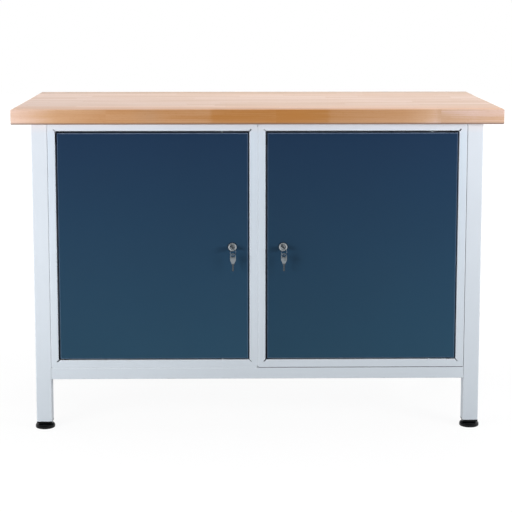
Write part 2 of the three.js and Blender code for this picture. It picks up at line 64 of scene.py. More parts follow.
# camera: a little above the top, nearly square to the doors

cameraSettings = {
    "place": (-0.0631, -4.1933, 1.1525),
    "yaw": -0.015,
    "pitch": 0.136,
    "focalPixels": 1533.6,
    "imagePixels": 512,
    "sensor": 36,
    "shiftUp": -0.12,
}


def makeCamera(spec):
    data = bpy.data.cameras.new("camera")
    data.sensor_width = spec["sensor"]
    data.lens = spec["sensor"] * spec["focalPixels"] / spec["imagePixels"]
    data.shift_y = spec["shiftUp"]
    camera = addObject("camera", data)
    camera.location = spec["place"]
    camera.rotation_euler = (math.pi / 2 - spec["pitch"], 0, spec["yaw"])
    scene.camera = camera


makeCamera(cameraSettings)


# small helpers for node trees

noiseSpan = (0.3, 0.7)  # where most of a noise lies


def setInputs(tree, node, inputs):  # a socket is linked, anything else is set
    for name, value in inputs.items():
        if isinstance(value, bpy.types.NodeSocket):
            tree.links.new(value, node.inputs[name])
        else:
            node.inputs[name].default_value = value


def addNode(tree, kind, inputs=None, **options):
    made = tree.nodes.new(kind)
    for name, value in options.items():
        setattr(made, name, value)
    setInputs(tree, made, inputs or {})
    return made


def calc(tree, operation, *values, clamp=False):
    inputs = dict(enumerate(values))
    return addNode(tree, "ShaderNodeMath", inputs, operation=operation, use_clamp=clamp).outputs[0]


def times(tree, a, b):
    return calc(tree, "MULTIPLY", a, b)


def vectorCalc(tree, operation, *values):
    made = addNode(tree, "ShaderNodeVectorMath", dict(enumerate(values)), operation=operation)
    return made.outputs["Value" if operation in ("DOT_PRODUCT", "LENGTH") else "Vector"]


def stretched(tree, vector, scale):
    return vectorCalc(tree, "MULTIPLY", vector, scale)


def objectPlace(tree):
    return tree.nodes.new("ShaderNodeTexCoord").outputs["Object"]


def axesOf(tree, vector):
    return addNode(tree, "ShaderNodeSeparateXYZ", {0: vector}).outputs


def fit(tree, value, low, high, toLow=0.0, toHigh=1.0):
    inputs = {"Value": value, "From Min": low, "From Max": high, "To Min": toLow, "To Max": toHigh}
    return addNode(tree, "ShaderNodeMapRange", inputs).outputs[0]


def mixValue(tree, factor, a, b):
    return addNode(tree, "ShaderNodeMix", {0: factor, 2: a, 3: b}, data_type="FLOAT").outputs[0]


def mixColour(tree, factor, a, b, mode="MIX"):
    made = addNode(tree, "ShaderNodeMix", {0: factor, 6: a, 7: b}, data_type="RGBA", blend_type=mode)
    return made.outputs[2]


def noise(tree, vector, scale, detail=2.0, roughness=0.5):
    inputs = {"Vector": vector, "Scale": scale, "Detail": detail, "Roughness": roughness}
    return addNode(tree, "ShaderNodeTexNoise", inputs).outputs[0]


def bumped(tree, strength, distance, height, normal=None):
    inputs = {"Strength": strength, "Distance": distance, "Height": height}
    if normal:
        inputs["Normal"] = normal
    return addNode(tree, "ShaderNodeBump", inputs).outputs[0]


def ramp(tree, factor, stops):
    made = addNode(tree, "ShaderNodeValToRGB", {"Fac": factor})
    elements = made.color_ramp.elements
    while len(elements) < len(stops):
        elements.new(1.0)
    for element, (place, colour) in zip(elements, stops):
        element.position = place
        element.color = colour
    return made.outputs[0]


def rgb(red, green, blue):  # a colour as seen on screen, 0 to 255
    def linear(value):
        value /= 255
        return value / 12.92 if value <= 0.04045 else ((value + 0.055) / 1.055) ** 2.4
    return (linear(red), linear(green), linear(blue), 1.0)


def grey(value):
    return (value, value, value, 1.0)


def socketKind(value):
    if isinstance(value, str):  # a kind that has no plain value
        return value
    if isinstance(value, tuple):
        return "Vector" if len(value) == 3 else "Color"
    return "Int" if isinstance(value, int) else "Float"


def newTree(kind, name, inputs, outputs):
    tree = bpy.data.node_groups.new(name, kind)
    for socketName, value in inputs.items():
        socketType = "NodeSocket" + socketKind(value)
        socket = tree.interface.new_socket(socketName, in_out="INPUT", socket_type=socketType)
        if not isinstance(value, str):
            socket.default_value = value
    outputKinds = {"normal": "Vector", "colour": "Color", "Geometry": "Geometry"}
    for socketName in outputs:
        socketType = "NodeSocket" + outputKinds.get(socketName, "Float")
        tree.interface.new_socket(socketName, in_out="OUTPUT", socket_type=socketType)
    return tree, tree.nodes.new("NodeGroupInput").outputs, tree.nodes.new("NodeGroupOutput")


def newGroup(name, inputs, outputs):
    return newTree("ShaderNodeTree", name, inputs, outputs)


def useGroup(tree, group, values):  # takes the values that are named like its inputs
    made = addNode(tree, "ShaderNodeGroup", node_tree=group)
    setInputs(tree, made, {name: values[name] for name in made.inputs.keys() if name in values})
    return made.outputs


def newMaterial(name):
    material = bpy.data.materials.new(name)
    material.use_nodes = True
    return material, material.node_tree, material.node_tree.nodes["Principled BSDF"]


# shared effects

coatSkinSettings = {
    "cloudScale": 2.3,
    "cloudTone": (0.965, 1.03),
    "speckScale": 1900.0,
    "speckSpan": (0.70, 0.76),
    "speckTone": 0.93,
    "smudgeScale": 9.0,
    "smudgeSpan": (0.35, 0.7),
    "smudgeGloss": (-0.05, 0.07),
}


def makeCoatSkin(spec):  # powder coat: fine orange peel, slow waves of the sheet, an uneven tone
    inputs = {"peelScale": 700.0, "peelDepth": 0.3, "waveScale": 5.0, "waveDepth": 1.0, "gloss": 0.42}
    tree, given, result = newGroup("coatSkin", inputs, ("tone", "roughness", "height"))
    place = objectPlace(tree)
    peel = noise(tree, place, given["peelScale"], detail=3.0, roughness=0.55)
    wave = noise(tree, place, given["waveScale"], detail=1.0, roughness=0.4)
    cloud = noise(tree, place, spec["cloudScale"], detail=4.0, roughness=0.6)
    speck = noise(tree, place, spec["speckScale"], detail=1.0)
    smudge = noise(tree, place, spec["smudgeScale"], detail=5.0, roughness=0.65)
    tone = fit(tree, cloud, *noiseSpan, *spec["cloudTone"])
    speck = fit(tree, speck, *spec["speckSpan"], 1.0, spec["speckTone"])
    smudge = fit(tree, smudge, *spec["smudgeSpan"], *spec["smudgeGloss"])
    setInputs(tree, result, {
        "tone": times(tree, tone, speck),
        "roughness": calc(tree, "ADD", given["gloss"], smudge),
        "height": calc(
            tree, "ADD", times(tree, peel, given["peelDepth"]), times(tree, wave, given["waveDepth"])
        ),
    })
    return tree


edgeBandSettings = {
    "bend": (0.995, 0.95),  # how square the widened normal is, off a bend and on it
    "upward": (0.05, 0.3),
    "inFront": (0.15, 0.4),
    "shadeWay": (0.7, 0.0, -0.7),  # down or to the right
    "shade": (0.1, 0.22),
    "groove": (0.55, 0.95),
    "breakScale": 60.0,
    "breakSpan": (0.3, 0.6),
    "breakShare": (0.6, 1.0),
}


def makeEdgeBand(spec):  # rounded normals, with masks for the painted highlight on bends, the painted shade in grooves and the painted shade on bends turned from the light
    inputs = {"radius": 0.001, "bandWidth": 0.001, "grooveReach": 0.004}
    outputs = ("mask", "upward", "groove", "shaded", "normal")
    tree, given, result = newGroup("edgeBand", inputs, outputs)
    texture = tree.nodes.new("ShaderNodeTexCoord").outputs
    rounded = addNode(tree, "ShaderNodeBevel", {"Radius": given["radius"]}, samples=6).outputs[0]
    wide = addNode(tree, "ShaderNodeBevel", {"Radius": given["bandWidth"]}, samples=8).outputs[0]
    toObject = {"vector_type": "NORMAL", "convert_from": "WORLD", "convert_to": "OBJECT"}
    wide = addNode(tree, "ShaderNodeVectorTransform", {"Vector": wide}, **toObject).outputs[0]
    across, along, up = axesOf(tree, vectorCalc(tree, "ABSOLUTE", wide))
    square = calc(tree, "MAXIMUM", calc(tree, "MAXIMUM", across, along), up)
    outward = vectorCalc(tree, "ABSOLUTE", texture["Normal"])
    inFront = fit(tree, axesOf(tree, outward)[1], *spec["inFront"])
    bend = times(tree, fit(tree, square, *spec["bend"]), inFront)
    turnedAway = vectorCalc(tree, "DOT_PRODUCT", wide, spec["shadeWay"])
    occlusion = {"Distance": given["grooveReach"]}
    openness = addNode(tree, "ShaderNodeAmbientOcclusion", occlusion, samples=6).outputs["AO"]
    groove = fit(tree, openness, *spec["groove"], 1.0, 0.0)
    broken = noise(tree, texture["Object"], spec["breakScale"], detail=3.0, roughness=0.6)
    broken = fit(tree, broken, *spec["breakSpan"], *spec["breakShare"])
    shown = times(tree, broken, calc(tree, "SUBTRACT", 1.0, groove))
    setInputs(tree, result, {
        "mask": times(tree, bend, shown),
        "upward": fit(tree, axesOf(tree, wide)[2], *spec["upward"]),
        "groove": groove,
        "shaded": times(tree, fit(tree, turnedAway, *spec["shade"]), inFront),
        "normal": rounded,
    })
    return tree


metalGrainSettings = {
    "drawn": (0.15, 1.0, 1.0),
    "stainScale": 140.0,
    "stainTone": (0.86, 1.06),
    "stainGlossSpan": (0.3, 0.75),
    "stainGloss": (-0.05, 0.12),
}


def makeMetalGrain(spec):  # fine drawn lines and small stains of plated metal
    inputs = {"lineScale": 900.0, "gloss": 0.3}
    tree, given, result = newGroup("metalGrain", inputs, ("tone", "roughness", "height"))
    place = objectPlace(tree)
    stain = noise(tree, place, spec["stainScale"], detail=4.0, roughness=0.6)
    stainGloss = fit(tree, stain, *spec["stainGlossSpan"], *spec["stainGloss"])
    setInputs(tree, result, {
        "tone": fit(tree, stain, *noiseSpan, *spec["stainTone"]),
        "roughness": calc(tree, "ADD", given["gloss"], stainGloss),
        "height": noise(tree, stretched(tree, place, spec["drawn"]), given["lineScale"]),
    })
    return tree


paintedHeightLightSettings = {
    # heights where the painted light goes from the low colour to the top one
    "tone": (0.15, 0.8),
    "bounce": (0.776, 0.796),
}


def makePaintedHeightLight(spec):  # painted light by height: painted shade lower down on the grey, a painted floor reflection lower down on the blue, and painted warm light bounced from the wood close under the worktop
    inputs = {"colour": grey(1.0), "lowLitColour": grey(1.0), "bounce": grey(1.0)}
    tree, given, result = newGroup("paintedHeightLight", inputs, ("colour",))
    z = axesOf(tree, objectPlace(tree))[2]
    body = mixColour(tree, fit(tree, z, *spec["tone"]), given["lowLitColour"], given["colour"])
    underTop = fit(tree, z, *spec["bounce"])
    setInputs(tree, result, {"colour": mixColour(tree, underTop, body, given["bounce"], "MULTIPLY")})
    return tree


coatSkin = makeCoatSkin(coatSkinSettings)
edgeBand = makeEdgeBand(edgeBandSettings)
metalGrain = makeMetalGrain(metalGrainSettings)
paintedHeightLight = makePaintedHeightLight(paintedHeightLightSettings)
print("shared effects ready")


# paint on the steel

greyCoatSettings = {
    "colour": rgb(211, 222, 234),
    # darker lower down: painted shade
    "lowLitColour": rgb(206, 214, 222),
    "bounce": (1.09, 1.0, 0.965, 1.0),  # warm light from the wood above
    # a painted highlight along the bends
    "edgeHighlightColour": rgb(240, 246, 252),
    "edgeHighlightShare": (0.5, 0.5),
    "bandWidth": 0.002,
    "radius": 0.0012,
    # painted shade in grooves and gaps
    "grooveShadeColour": rgb(104, 104, 116),
    "grooveShadeShare": 0.6,
    "grooveReach": 0.0018,
    "gloss": 0.46,
    "specular": 0.4,
}
blueCoatSettings = {
    "colour": rgb(29, 51, 78),
    # lighter lower down: a painted reflection of the floor
    "lowLitColour": rgb(40, 72, 93),
    "sheenAcrossDoor": (-0.08, 0.1),  # painted sheen: tone changing from the left edge of each door to the right one
    "sheenHeights": (1.0, 0.35),  # share of it at the bottom and at the top
    # a painted highlight along the bends, strongest where they face up
    "edgeHighlightColour": rgb(122, 138, 162),
    "edgeHighlightShare": (0.35, 1.0),
    "bandWidth": 0.0036,
    "radius": 0.0012,
    # painted shade in grooves and gaps
    "grooveShadeColour": rgb(6, 9, 15),
    "grooveShadeShare": 0.7,
    "grooveReach": 0.003,
    "gloss": 0.44,
    "specular": 0.12,
}
# dark colour of painted shade in an open seam
jointShadeColour = rgb(60, 62, 72)
greyCoats = {  # what differs from the plain grey coat
    "greyCoat": {},
    # a copy of the grey with painted shade on the bends over the door gaps
    "openingShadeCoat": {"shadeColour": rgb(6, 16, 36), "shadeShare": 0.97, "bandWidth": 0.0026},
    # a lighter, warmer copy of the grey for the legs: painted light
    "litLegCoat": {"colour": rgb(217, 224, 233)},
    "flushCoat": {"edgeHighlightShare": (0, 0), "grooveShadeShare": 0, "radius": 0},
    "jointShadeCoat": {"colour": jointShadeColour, "lowLitColour": jointShadeColour, "edgeHighlightShare": (0, 0)},
}
coatBump = {"strength": 0.12, "distance": 0.0004}


# painted sheen across each door, stronger towards the bottom
def doorSheen(tree, spec):
    x, y, z = axesOf(tree, objectPlace(tree))
    sheens = []
    for side in sides:
        low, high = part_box("door_pan_" + side)
        sheens.append(fit(tree, x, low.x, high.x, *spec["sheenAcrossDoor"]))
    across = mixValue(tree, calc(tree, "GREATER_THAN", x, 0.0), *sheens)
    share = fit(tree, z, *paintedHeightLightSettings["tone"], *spec["sheenHeights"])
    return calc(tree, "MULTIPLY_ADD", across, share, 1.0)


def makeCoat(name, spec):
    material, tree, shader = newMaterial(name)
    skin, edge, paint = (useGroup(tree, group, spec) for group in (coatSkin, edgeBand, paintedHeightLight))
    body = mixColour(tree, 1.0, paint["colour"], skin["tone"], "MULTIPLY")
    # painted sheen across the doors
    if "sheenAcrossDoor" in spec:
        body = mixColour(tree, 1.0, body, doorSheen(tree, spec), "MULTIPLY")
    # painted highlight along the bends, stronger on bends that face up
    share = fit(tree, edge["upward"], 0, 1, *spec["edgeHighlightShare"])
    body = mixColour(tree, times(tree, edge["mask"], share), body, spec["edgeHighlightColour"])
    # painted shade in grooves and gaps
    grooveShade = times(tree, edge["groove"], spec["grooveShadeShare"])
    body = mixColour(tree, grooveShade, body, spec["grooveShadeColour"])
    if "shadeColour" in spec:  # bends over a dark door gap
        shade = times(tree, edge["shaded"], spec["shadeShare"])
        body = mixColour(tree, shade, body, spec["shadeColour"])
    setInputs(tree, shader, {
        "Base Color": body,
        "Roughness": skin["roughness"],
        "Normal": bumped(tree, **coatBump, height=skin["height"], normal=edge["normal"]),
        "Specular IOR Level": spec["specular"],
    })
    return material


coats = {name: makeCoat(name, {**greyCoatSettings, **own}) for name, own in greyCoats.items()}
coats["blueCoat"] = makeCoat("blueCoat", blueCoatSettings)


# black mouldings of the feet

blackMouldingSettings = {
    "colour": rgb(7, 8, 10),
    "grainScale": 1600.0,
    "grainGloss": (-0.04, 0.1),
    "scuffColour": rgb(26, 28, 32),
    "scuffScale": (90.0, 90.0, 270.0),
    "scuffSpan": (0.58, 0.8),
    "scuffShare": 0.5,
    "gloss": 0.3,
    "specular": 0.2,
    "bump": {"strength": 0.15, "distance": 0.0002},
}


def makeBlackMoulding(spec):
    material, tree, shader = newMaterial("blackMoulding")
    place = objectPlace(tree)
    grain = noise(tree, place, spec["grainScale"])
    grainGloss = fit(tree, grain, *noiseSpan, *spec["grainGloss"])
    scuff = noise(tree, stretched(tree, place, spec["scuffScale"]), 1.0, detail=5.0, roughness=0.7)
    scuff = fit(tree, scuff, *spec["scuffSpan"], 0.0, spec["scuffShare"])
    setInputs(tree, shader, {
        "Base Color": mixColour(tree, scuff, spec["colour"], spec["scuffColour"]),
        "Roughness": calc(tree, "ADD", spec["gloss"], grainGloss),
        "Normal": bumped(tree, **spec["bump"], height=grain),
        "Specular IOR Level": spec["specular"],
    })
    return material


blackMoulding = makeBlackMoulding(blackMouldingSettings)


# plated metal of pins, studs, locks and keys

plateSettings = {
    "zincPlate": {"colour": rgb(178, 183, 188), "stain": rgb(138, 142, 144), "gloss": 0.34},
    "nickelPlate": {
        "colour": rgb(172, 178, 182),
        "stain": rgb(112, 118, 120),
        "gloss": 0.24,
        "lineScale": 1500.0,
    },
    "keySteel": {
        "colour": rgb(140, 147, 152),
        "stain": rgb(84, 90, 94),
        "gloss": 0.3,
        "lineScale": 1500.0,
        # a darker blade: a painted dark reflection
        "bladeDarkReflection": rgb(74, 80, 86),
        "bladeGloss": 0.1,
    },
    "burntPin": {"colour": rgb(52, 55, 60), "stain": rgb(38, 40, 44), "gloss": 0.45},
}
plateEdgeRadius = 0.0003
plateStain = (0.86, 0.96, 0.7, 0.0)  # from tones to shares of stain
plateBump = {"strength": 0.08, "distance": 0.0001}


def makePlate(name, spec):
    material, tree, shader = newMaterial(name)
    grain = useGroup(tree, metalGrain, spec)
    edge = useGroup(tree, edgeBand, {"radius": plateEdgeRadius})
    stained = fit(tree, grain["tone"], *plateStain)
    body = mixColour(tree, stained, spec["colour"], spec["stain"])
    rough = grain["roughness"]
    # a darker blade: a painted dark reflection
    if "bladeDarkReflection" in spec:
        blade = addNode(tree, "ShaderNodeAttribute", attribute_name="blade").outputs["Fac"]
        body = mixColour(tree, blade, body, spec["bladeDarkReflection"])
        rough = mixValue(tree, blade, rough, spec["bladeGloss"])
    setInputs(tree, shader, {
        "Base Color": body,
        "Roughness": rough,
        "Normal": bumped(tree, **plateBump, height=grain["height"], normal=edge["normal"]),
        "Metallic": 1.0,
    })
    return material


plates = {name: makePlate(name, spec) for name, spec in plateSettings.items()}


# beech worktop: staves glued side by side, each made of shorter lengths

beechSettings = {
    "pale": rgb(248, 221, 211),
    "middle": rgb(210, 166, 128),
    "dark": rgb(183, 123, 60),
    "endGrain": rgb(150, 106, 70),
    "facing": (0.6, 0.9),
    "staveCount": 16,
    "staveLength": 0.42,
    "lengthSpread": 0.8,
    "staveJump": 53.0,  # keeps the joints of neighbouring staves apart
    "insideTones": (0.2, 0.36),
    "backStaves": 3,
    "backStaveTone": 0.2,
    "backStaveTint": (0.9, 0.965, 1.07, 1.0),
    # darker towards the back: painted shade
    "shadeTowardsBack": 0.07,
    "towardsLeft": -0.06,
    "leftFrom": -0.2,
    # the front stave's top paler, like the inside: a painted highlight along the front edge
    "topSheen": 0.65,
    # growth rings: the pith of each length lies somewhere in these bounds
    "ringSpacing": 0.0042,
    "ringBend": 0.022,
    "pithAcross": (-0.12, 0.08),
    "pithBelow": (0.02, 0.12),
    "ownJump": 7.0,
    # bend, streaks, lines and flecks: how fine along, across and up, detail and roughness
    "patterns": (
        ((1.6, 9.0, 9.0), 2.0, 0.5),
        ((2.2, 55.0, 55.0), 3.0, 0.55),
        ((9.0, 520.0, 520.0), 3.0, 0.6),
        ((120.0, 1500.0, 1500.0), 1.0, 0.5),
    ),
    "fleckSpan": (0.62, 0.72),
    # how much each darkens the wood
    "streakShare": 0.5,
    "ringShare": 0.03,
    "lineShare": 0.28,
    "fleckShare": 0.16,
    "glueLine": (0.004, 0.011),
    "buttLine": (0.0008, 0.0018),
    "glueShare": 0.13,
    # a warm painted highlight along the front of the top and on its arris
    "highlightStaves": 2.5,
    "frontHighlightTint": (1.03, 0.975, 0.925, 1.0),
    "arrisHighlightTint": (1.04, 0.98, 0.88, 1.0),
    # painted shade along the lower arris
    "lowArrisShade": (0.0058, 0.0014),
    "lowArrisShadeColour": rgb(116, 92, 82),
    "lowArrisShadeShare": 0.9,
    # end grain
    "poreScale": 1300.0,
    "poreSpan": (0.55, 0.7),
    "endTone": 0.5,
    "endRings": 0.16,
    "endPores": 0.35,
    # surface
    "gloss": 0.36,
    "endGloss": 0.14,
    "lineGloss": 0.16,
    "lineDepth": 0.5,
    "bump": {"strength": 0.25, "distance": 0.0002},
    "specular": 0.4,
    "oil": 0.14,
    "oilGloss": 0.4,
    # front stave: where each length starts and ends, from the left end, and how dark it is there
    "jointBlend": 0.005,
    "frontLengths": [
        (0.000, 0.110, 0.17, 0.45),
        (0.110, 0.235, 0.49, 0.65),
        (0.235, 0.366, 0.67, 0.72),
        (0.366, 0.506, 0.73, 0.76),
        (0.506, 0.647, 0.93, 0.97),
        (0.647, 0.805, 0.98, 0.92),
        (0.805, 0.990, 0.80, 0.67),
        (0.990, 1.081, 0.66, 0.40),
        (1.081, 1.180, 0.50, 0.36),
        (1.180, 1.250, 0.38, 0.38),
    ],
    # greyer wood in that stave: places from the left end, and how much
    "greyWood": (0.93, 1.02, 1.22, 1.0),
    "greyPlaces": [
        (0.30, 0.0),
        (0.35, 0.6),
        (0.39, 0.1),
        (0.72, 0.0),
        (0.80, 0.4),
        (1.07, 0.5),
        (1.09, 1.0),
        (1.25, 0.7),
    ],
}


def frontStaveTone(tree, share, width, spec):
    blend = spec["jointBlend"]
    stops = []
    for start, end, toneAtStart, toneAtEnd in spec["frontLengths"]:
        stops.append(((start + blend) / width, grey(toneAtStart)))
        stops.append(((end - blend) / width, grey(toneAtEnd)))
    return ramp(tree, share, stops)


def makeBeech(spec):
    low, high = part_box("worktop")
    size = high - low
    count = spec["staveCount"]
    material, tree, shader = newMaterial("beech")
    texture = tree.nodes.new("ShaderNodeTexCoord").outputs
    place = texture["Object"]
    x, y, z = axesOf(tree, place)
    facing = axesOf(tree, texture["Normal"])
    onTop = fit(tree, facing[2], *spec["facing"])
    atEnd = fit(tree, calc(tree, "ABSOLUTE", facing[0]), *spec["facing"])
    fromLeft = fit(tree, x, low.x, high.x)
    fromBottom = calc(tree, "SUBTRACT", z, low.z)

    # which stave, and which length of it
    acrossStaves = fit(tree, y, low.y, high.y, 0.0, count)
    stave = calc(tree, "FLOOR", acrossStaves)
    inStave = calc(tree, "FRACT", acrossStaves)
    inFront = calc(tree, "LESS_THAN", stave, 0.5)
    atBack = fit(tree, stave, count - spec["backStaves"], count - 1)
    shift = addNode(tree, "ShaderNodeTexWhiteNoise", {"W": stave}, noise_dimensions="1D").outputs["Value"]
    shift = times(tree, shift, spec["staveJump"])
    along = calc(tree, "MULTIPLY_ADD", x, 1 / spec["staveLength"], shift)
    cell, joint = (
        addNode(
            tree,
            "ShaderNodeTexVoronoi",
            {"W": along, "Scale": 1.0, "Randomness": spec["lengthSpread"]},
            voronoi_dimensions="1D",
            feature=feature,
        ).outputs
        for feature in ("F1", "DISTANCE_TO_EDGE")
    )
    red, green, blue = addNode(tree, "ShaderNodeSeparateColor", {0: cell["Color"]}).outputs

    # tone of each length
    toneInside = fit(tree, red, 0.0, 1.0, *spec["insideTones"])
    toneInside = calc(tree, "MULTIPLY_ADD", atBack, spec["backStaveTone"], toneInside)
    # darker towards the back, painted shade, and paler towards the left end
    backShade = fit(tree, y, 0.0, high.y, 0.0, spec["shadeTowardsBack"])
    toLeft = fit(tree, x, spec["leftFrom"], low.x, 0.0, spec["towardsLeft"])
    toneInside = calc(tree, "ADD", toneInside, calc(tree, "ADD", backShade, toLeft))
    frontTone = frontStaveTone(tree, fromLeft, size.x, spec)
    # the front stave's top paler, like the inside: a painted highlight along the front edge
    frontTone = mixValue(tree, times(tree, onTop, spec["topSheen"]), frontTone, toneInside)
    tone = mixValue(tree, inFront, toneInside, frontTone)

    # growth rings round a pith of its own for every length, bent along the stave
    jump = {0: times(tree, red, spec["ownJump"]), 1: green, 2: blue}
    own = vectorCalc(tree, "ADD", place, addNode(tree, "ShaderNodeCombineXYZ", jump).outputs[0])
    bend, streaks, lines, flecks = (
        noise(tree, stretched(tree, own, scale), 1.0, detail, roughness)
        for scale, detail, roughness in spec["patterns"]
    )
    pithAcross = fit(tree, green, 0, 1, *spec["pithAcross"])
    pithBelow = fit(tree, blue, 0, 1, *spec["pithBelow"])
    ringY = calc(tree, "MULTIPLY_ADD", inStave, size.y / count, pithAcross)
    ringZ = calc(tree, "ADD", fromBottom, pithBelow)
    radius = addNode(tree, "ShaderNodeCombineXYZ", {0: ringY, 1: ringZ}).outputs[0]
    radius = calc(tree, "MULTIPLY_ADD", bend, spec["ringBend"], vectorCalc(tree, "LENGTH", radius))
    rings = calc(tree, "SINE", times(tree, radius, math.tau / spec["ringSpacing"]))

    # grain lines, slow streaks and the small dark flecks of beech
    flecks = fit(tree, flecks, *spec["fleckSpan"])
    value = tone
    for pattern, share in (
        (calc(tree, "SUBTRACT", streaks, 0.5), spec["streakShare"]),
        (rings, spec["ringShare"]),
        (calc(tree, "SUBTRACT", lines, 0.5), spec["lineShare"]),
        (flecks, spec["fleckShare"]),
    ):
        value = calc(tree, "MULTIPLY_ADD", pattern, share, value)
    stops = [(0.0, spec["pale"]), (0.5, spec["middle"]), (1.0, spec["dark"])]
    colour = ramp(tree, value, stops)

    # glue lines between staves and butt joints between lengths
    fromEdge = calc(tree, "MINIMUM", inStave, calc(tree, "SUBTRACT", 1.0, inStave))
    glueLine = fit(tree, fromEdge, *spec["glueLine"], 1.0, 0.0)
    buttLine = fit(tree, joint["Distance"], *spec["buttLine"], 1.0, 0.0)
    seam = times(tree, calc(tree, "MAXIMUM", glueLine, buttLine), spec["glueShare"])
    colour = mixColour(tree, seam, colour, spec["endGrain"])

    # the top of the front staves a little redder and warmer at the arris, a painted warm highlight; the back
    # staves cooler; the lower arris darker, painted shade
    frontHighlight = calc(tree, "LESS_THAN", stave, spec["highlightStaves"])
    onFace = calc(tree, "SUBTRACT", inFront, onTop, clamp=True)
    greyStops = [(at / size.x, grey(share)) for at, share in spec["greyPlaces"]]
    for mask, where, tint in (
        (frontHighlight, onTop, spec["frontHighlightTint"]),
        (inFront, onTop, spec["arrisHighlightTint"]),
        (atBack, onTop, spec["backStaveTint"]),
        (ramp(tree, fromLeft, greyStops), onFace, spec["greyWood"]),
    ):
        colour = mixColour(tree, times(tree, mask, where), colour, tint, "MULTIPLY")
    # painted shade along the lower arris
    shadedLowArris = fit(tree, fromBottom, *spec["lowArrisShade"], 0.0, spec["lowArrisShadeShare"])
    colour = mixColour(tree, shadedLowArris, colour, spec["lowArrisShadeColour"])

    # end grain: darker, with open pores and clear rings
    pores = fit(tree, noise(tree, place, spec["poreScale"]), *spec["poreSpan"])
    endTone = calc(tree, "MULTIPLY_ADD", rings, spec["endRings"], spec["endTone"])
    endTone = calc(tree, "MULTIPLY_ADD", pores, spec["endPores"], endTone, clamp=True)
    endColour = mixColour(tree, endTone, colour, spec["endGrain"])

    rough = calc(tree, "MULTIPLY_ADD", atEnd, spec["endGloss"], spec["gloss"])
    height = calc(tree, "SUBTRACT", times(tree, lines, spec["lineDepth"]), calc(tree, "ADD", seam, flecks))
    setInputs(tree, shader, {
        "Base Color": mixColour(tree, atEnd, colour, endColour),
        "Roughness": calc(tree, "MULTIPLY_ADD", lines, spec["lineGloss"], rough),
        "Normal": bumped(tree, **spec["bump"], height=height),
        "Specular IOR Level": spec["specular"],
        "Coat Weight": spec["oil"],
        "Coat Roughness": spec["oilGloss"],
    })
    return material


beech = makeBeech(beechSettings)
print("materials ready")

finishes = {
    "beech": beech,
    "grey_paint": coats["greyCoat"],
    "blue_paint": coats["blueCoat"],
    "black_plastic": blackMoulding,
    "zinc_steel": plates["zincPlate"],
    "nickel": plates["nickelPlate"],
}
ownFinishes = {
    coats["litLegCoat"]: ["leg_" + corner for corner in corners],
    coats["openingShadeCoat"]: [
        "cabinet_top_left",
        "cabinet_top_right",
        "cabinet_outer_side_left",
        "cabinet_inner_side_right",
    ],
    plates["burntPin"]: [f"hinge_pin_{end}_{side}" for end in ("upper", "lower") for side in sides],
}
for part in frame["record"]["subparts"]:
    materials = nodes[part["node"]].data.materials
    materials.clear()
    materials.append(finishes[part["material_slot"]])
for material, pieces in ownFinishes.items():
    for piece in pieces:
        nodes[piece].data.materials[0] = material


# mesh helpers

metalSharpAngle = 32


def addPiece(name, mesh, slot, body, *replaced, smooth=True, material=None):
    mesh.name = name
    mesh.materials.clear()
    mesh.materials.append(material or finishes[slot])
    for face in mesh.polygons:
        face.use_smooth = smooth
    piece = addObject(name, mesh)
    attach(piece, body)
    if replaced:
        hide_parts(*replaced)


def toMesh(form, name, sharpAngle=None):  # edges bent by more than that angle stay sharp
    if sharpAngle:
        form.normal_update()
        limit = math.radians(sharpAngle)
        for edge in form.edges:
            edge.smooth = len(edge.link_faces) == 2 and edge.calc_face_angle(math.pi) < limit
    mesh = bpy.data.meshes.new(name)
    form.to_mesh(mesh)
    form.free()
    return mesh


def joinMeshes(name, meshes):
    form = bmesh.new()
    for mesh in meshes:
        form.from_mesh(mesh)
    return toMesh(form, name)


def boxForm(low, high):
    low, high = Vector(low), Vector(high)
    form = bmesh.new()
    bmesh.ops.create_cube(form, size=1.0)
    bmesh.ops.scale(form, vec=high - low, verts=form.verts)
    bmesh.ops.translate(form, vec=(low + high) / 2, verts=form.verts)
    return form


def boxMesh(low, high, turn=None):
    form = boxForm(low, high)
    if turn:
        bmesh.ops.transform(form, matrix=turn, verts=form.verts)
    return toMesh(form, "box")


def loftMesh(name, rings, closed=False):  # rings of points, joined in turn; open ends get a face
    form = bmesh.new()
    loops = [[form.verts.new(point) for point in ring] for ring in rings]
    count = len(loops[0])
    pairs = list(zip(loops, loops[1:]))
    if closed:
        pairs.append((loops[-1], loops[0]))
    for first, second in pairs:
        for k in range(count):
            after = (k + 1) % count
            form.faces.new((first[k], first[after], second[after], second[k]))
    if not closed:
        form.faces.new(list(reversed(loops[0])))
        form.faces.new(loops[-1])
    bmesh.ops.recalc_face_normals(form, faces=form.faces)
    return toMesh(form, name, metalSharpAngle)


def turned(degrees, axis):
    return Matrix.Rotation(math.radians(degrees), 4, axis)


def ringPoints(radius, height, steps, flat=None):  # a ring round Z, with two flats across X if asked
    points = []
    for k in range(steps):
        angle = math.tau * k / steps
        reach = radius
        if flat and abs(math.cos(angle)) * radius > flat:
            reach = flat / abs(math.cos(angle))
        points.append(Vector((reach * math.cos(angle), reach * math.sin(angle), height)))
    return points


def arcProfile(centreR, centreH, radius, fromDegrees, toDegrees, steps=6):
    profile = []
    for k in range(steps + 1):
        angle = math.radians(fromDegrees + (toDegrees - fromDegrees) * k / steps)
        profile.append((centreR + radius * math.cos(angle), centreH + radius * math.sin(angle)))
    return profile


# worktop

worktopSettings = {"edgeRadius": 0.0022, "edgeSteps": 4, "sharpAngle": 40}


def makeWorktop(spec):
    form = boxForm(*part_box("worktop"))
    bmesh.ops.bevel(
        form,
        geom=form.edges,
        offset=spec["edgeRadius"],
        segments=spec["edgeSteps"],
        profile=0.5,
        affect="EDGES",
    )
    mesh = toMesh(form, "worktop", spec["sharpAngle"])
    addPiece("beech_worktop", mesh, "beech", "bench", "worktop")


